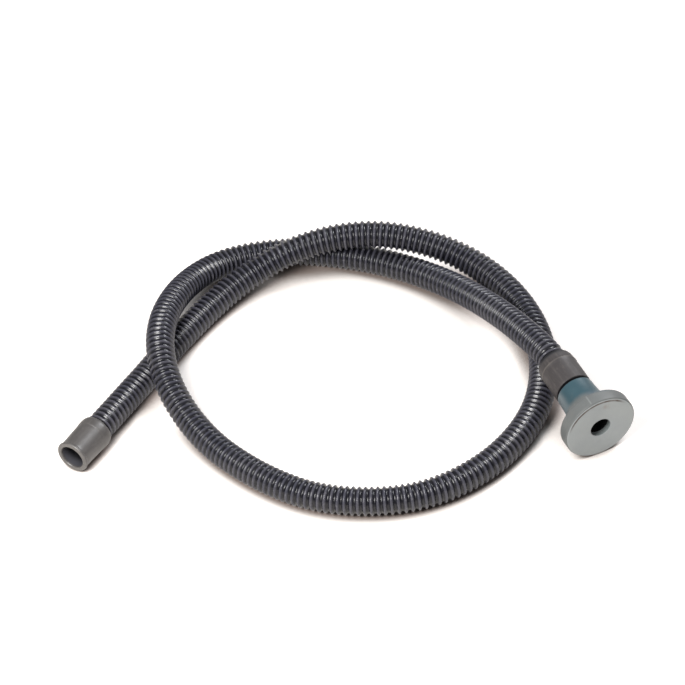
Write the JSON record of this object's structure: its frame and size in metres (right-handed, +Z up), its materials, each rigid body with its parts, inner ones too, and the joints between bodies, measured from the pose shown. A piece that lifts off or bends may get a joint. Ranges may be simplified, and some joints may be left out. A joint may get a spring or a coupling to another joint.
{
  "type": "fill hose",
  "caption": "Ribbed drain and fill hose with a tapered rubber cuff on one end and a flanged push-on tap adaptor in a plain cuff on the other, lying in a loose loop.",
  "frame": {"origin": "centre of the whole object's box at the surface it lies on", "axes": "+Z up, +X from the outlet cuff's end of the lay towards the tap adaptor's end, +Y away from both open ends"},
  "size_m": [0.4873, 0.3573, 0.0651],
  "materials": {
    "hose_plastic": "ribbed dark slate grey plastic with a soft gloss on its rib crests",
    "grey_rubber": "satin grey moulded rubber",
    "dark_rubber": "satin dark grey moulded rubber",
    "adaptor_plastic": "smooth grey-green moulding, bluer on the neck and paler on the flange, with a few stains"
  },
  "bodies": {
    "root": {"hose": "hose_plastic", "outlet_cuff": "grey_rubber", "tap_cuff": "dark_rubber", "tap_adaptor": "adaptor_plastic"}
  },
  "joints": []
}
